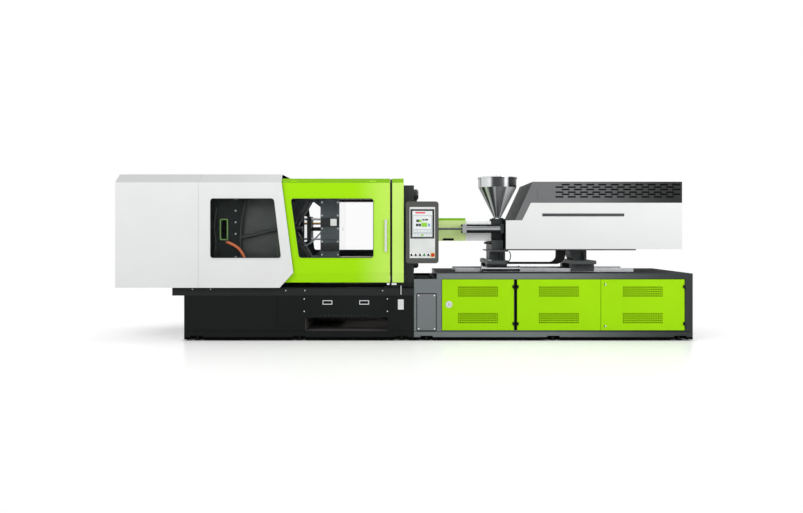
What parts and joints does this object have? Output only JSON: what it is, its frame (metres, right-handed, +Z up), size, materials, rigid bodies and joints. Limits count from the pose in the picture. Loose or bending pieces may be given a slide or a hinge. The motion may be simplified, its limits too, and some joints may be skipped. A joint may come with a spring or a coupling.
{
  "type": "injection moulding machine",
  "caption": "Horizontal injection moulding machine with a toggle clamp behind sliding green doors, a swivel operator panel, a steel hopper and a vented injection unit on a long base.",
  "frame": {"origin": "on the floor under the middle of the machine", "axes": "+X from the clamp to the injection end, +Y from the operator side to the rear, +Z up"},
  "size_m": [6.9, 1.616, 2.043],
  "materials": {
    "black_paint": "satin black machine paint",
    "grey_paint": "satin dark grey machine paint",
    "panel_grey": "satin grey powder coat",
    "white_paint": "smooth white powder coat",
    "green_paint": "smooth bright green powder coat",
    "cap_grey": "smooth light grey powder coat",
    "cast_paint": "painted casting",
    "steel": "machined steel",
    "polished": "polished or plated steel",
    "pane": "clear sheet",
    "panel_dark": "fine grained dark housing",
    "panel_white": "smooth white front",
    "screen": "screen glass and frame",
    "button_black": "push button cap",
    "button_green": "push button cap",
    "red": "emergency stop cap",
    "conduit": "ribbed black conduit"
  },
  "bodies": {
    "frame": {"clamp_base": "black_paint", "injection_base": "black_paint", "base_panels": "panel_grey", "discharge_panel": "black_paint", "leveling_feet": "black_paint", "fixed_platen": "cast_paint", "tail_platen": "cast_paint", "tie_bars": "polished", "clamp_end_panels": "white_paint", "clamp_window_panels": "white_paint", "cover_panes": "pane", "door_posts": "green_paint", "door_rails": "black_paint", "clamp_drive": "black_paint", "injection_rails": "steel", "carriage_rods": "polished", "operator_bracket": "black_paint", "clamp_screw": "polished"},
    "crosshead": {"crosshead": "grey_paint"},
    "rear_links_upper": {"rear_links_upper": "cast_paint"},
    "rear_links_lower": {"rear_links_lower": "cast_paint"},
    "front_links_upper": {"front_links_upper": "cast_paint"},
    "front_links_lower": {"front_links_lower": "cast_paint"},
    "crosshead_links_upper": {"crosshead_links_upper": "cast_paint"},
    "crosshead_links_lower": {"crosshead_links_lower": "cast_paint"},
    "moving_platen": {"moving_platen": "cast_paint", "ejector_guides": "polished"},
    "ejector": {"ejector_plate": "grey_paint"},
    "front_door": {"front_door": "green_paint", "front_door_pane": "pane"},
    "rear_door": {"rear_door": "green_paint", "rear_door_pane": "pane"},
    "carriage": {"injection_carriage": "cast_paint", "feed_block": "cast_paint", "barrel": "steel", "barrel_guard": "steel", "injection_cover": "white_paint", "injection_cap": "cap_grey", "hopper": "polished", "hopper_band": "polished", "hopper_neck": "polished", "traverse_cylinders": "polished", "injection_drive": "cast_paint", "cable_conduit": "conduit"},
    "hopper_lid": {"hopper_lid": "polished"},
    "purge_guard": {"purge_guard": "green_paint"},
    "thrust_plate": {"thrust_plate": "cast_paint"},
    "plasticising_screw": {"plasticising_screw": "steel"},
    "operator_panel": {"operator_housing": "panel_dark", "operator_face": "panel_white", "operator_screen": "screen"},
    "emergency_stop": {"emergency_stop": "red"},
    "base_door_left": {"base_door_left": "green_paint"},
    "base_door_middle": {"base_door_middle": "green_paint"},
    "base_door_right": {"base_door_right": "green_paint"},
    "button_1": {"button_1": "button_black"},
    "button_2": {"button_2": "button_black"},
    "button_3": {"button_3": "button_black"},
    "button_4": {"button_4": "button_green"},
    "button_5": {"button_5": "button_black"}
  },
  "joints": [
    {"name": "platen_slide", "type": "slide", "parent": "frame", "child": "moving_platen", "axis": [1, 0, 0], "range_m": [0, 0.42882]},
    {"name": "rear_link_upper_turn", "type": "hinge", "parent": "frame", "child": "rear_links_upper", "pos_m": [-1.666, 0, 1.807], "axis": [0, -1, 0], "range_deg": [0, 57.2]},
    {"name": "front_link_upper_turn", "type": "hinge", "parent": "rear_links_upper", "child": "front_links_upper", "pos_m": [-1.451, 0, 1.43461], "axis": [0, 1, 0], "range_deg": [0, 114.3]},
    {"name": "crosshead_link_upper_turn", "type": "hinge", "parent": "rear_links_upper", "child": "crosshead_links_upper", "pos_m": [-1.56402, 0, 1.49315], "axis": [0, -1, 0], "range_deg": [0, 16.53]},
    {"name": "rear_link_lower_turn", "type": "hinge", "parent": "frame", "child": "rear_links_lower", "pos_m": [-1.666, 0, 0.883], "axis": [0, 1, 0], "range_deg": [0, 57.2]},
    {"name": "front_link_lower_turn", "type": "hinge", "parent": "rear_links_lower", "child": "front_links_lower", "pos_m": [-1.451, 0, 1.25539], "axis": [0, -1, 0], "range_deg": [0, 114.3]},
    {"name": "crosshead_link_lower_turn", "type": "hinge", "parent": "rear_links_lower", "child": "crosshead_links_lower", "pos_m": [-1.56402, 0, 1.19685], "axis": [0, 1, 0], "range_deg": [0, 16.53]},
    {"name": "crosshead_slide", "type": "slide", "parent": "frame", "child": "crosshead", "axis": [1, 0, 0], "range_m": [0, 0.44464]},
    {"name": "ejector_slide", "type": "slide", "parent": "moving_platen", "child": "ejector", "axis": [1, 0, 0], "range_m": [0, 0.12]},
    {"name": "front_door_slide", "type": "slide", "parent": "frame", "child": "front_door", "axis": [-1, 0, 0], "range_m": [0, 1.08]},
    {"name": "rear_door_slide", "type": "slide", "parent": "frame", "child": "rear_door", "axis": [-1, 0, 0], "range_m": [0, 1.08]},
    {"name": "carriage_slide", "type": "slide", "parent": "frame", "child": "carriage", "axis": [1, 0, 0], "range_m": [0, 0.35]},
    {"name": "purge_guard_slide", "type": "slide", "parent": "carriage", "child": "purge_guard", "axis": [1, 0, 0], "range_m": [0, 0.28]},
    {"name": "injection_slide", "type": "slide", "parent": "carriage", "child": "thrust_plate", "axis": [-1, 0, 0], "range_m": [0, 0.25]},
    {"name": "screw_spin", "type": "hinge", "parent": "thrust_plate", "child": "plasticising_screw", "pos_m": [1.2, 0, 1.345], "axis": [1, 0, 0], "continuous": true},
    {"name": "hopper_lid_hinge", "type": "hinge", "parent": "carriage", "child": "hopper_lid", "pos_m": [1.2, 0.265, 2.007], "axis": [-1, 0, 0], "range_deg": [0, 80]},
    {"name": "operator_swivel", "type": "hinge", "parent": "frame", "child": "operator_panel", "pos_m": [0.13, -0.715, 1.3], "axis": [0, 0, 1], "range_deg": [-60, 60]},
    {"name": "button_1_press", "type": "slide", "parent": "operator_panel", "child": "button_1", "axis": [0, 1, 0], "range_m": [0, 0.004], "stiffness_N_per_m": 400},
    {"name": "button_2_press", "type": "slide", "parent": "operator_panel", "child": "button_2", "axis": [0, 1, 0], "range_m": [0, 0.004], "stiffness_N_per_m": 400},
    {"name": "button_3_press", "type": "slide", "parent": "operator_panel", "child": "button_3", "axis": [0, 1, 0], "range_m": [0, 0.004], "stiffness_N_per_m": 400},
    {"name": "button_4_press", "type": "slide", "parent": "operator_panel", "child": "button_4", "axis": [0, 1, 0], "range_m": [0, 0.004], "stiffness_N_per_m": 400},
    {"name": "button_5_press", "type": "slide", "parent": "operator_panel", "child": "button_5", "axis": [0, 1, 0], "range_m": [0, 0.004], "stiffness_N_per_m": 400},
    {"name": "emergency_stop_press", "type": "slide", "parent": "operator_panel", "child": "emergency_stop", "axis": [0, 1, 0], "range_m": [0, 0.004], "stiffness_N_per_m": 600},
    {"name": "base_door_left_hinge", "type": "hinge", "parent": "frame", "child": "base_door_left", "pos_m": [1.307, -0.727, 0.43], "axis": [0, 0, 1], "range_deg": [0, 88]},
    {"name": "base_door_middle_hinge", "type": "hinge", "parent": "frame", "child": "base_door_middle", "pos_m": [1.341, -0.727, 0.43], "axis": [0, 0, -1], "range_deg": [0, 88]},
    {"name": "base_door_right_hinge", "type": "hinge", "parent": "frame", "child": "base_door_right", "pos_m": [3.353, -0.727, 0.43], "axis": [0, 0, 1], "range_deg": [0, 88]}
  ],
  "couplings": [
    {"joint": "rear_link_upper_turn", "follows": "platen_slide", "rad_per_m": 2.3199},
    {"joint": "front_link_upper_turn", "follows": "platen_slide", "rad_per_m": 4.6399},
    {"joint": "crosshead_link_upper_turn", "follows": "platen_slide", "rad_per_m": 0.66467},
    {"joint": "rear_link_lower_turn", "follows": "platen_slide", "rad_per_m": 2.3199},
    {"joint": "front_link_lower_turn", "follows": "platen_slide", "rad_per_m": 4.6399},
    {"joint": "crosshead_link_lower_turn", "follows": "platen_slide", "rad_per_m": 0.66467},
    {"joint": "crosshead_slide", "follows": "platen_slide", "ratio": 1.0346}
  ]
}
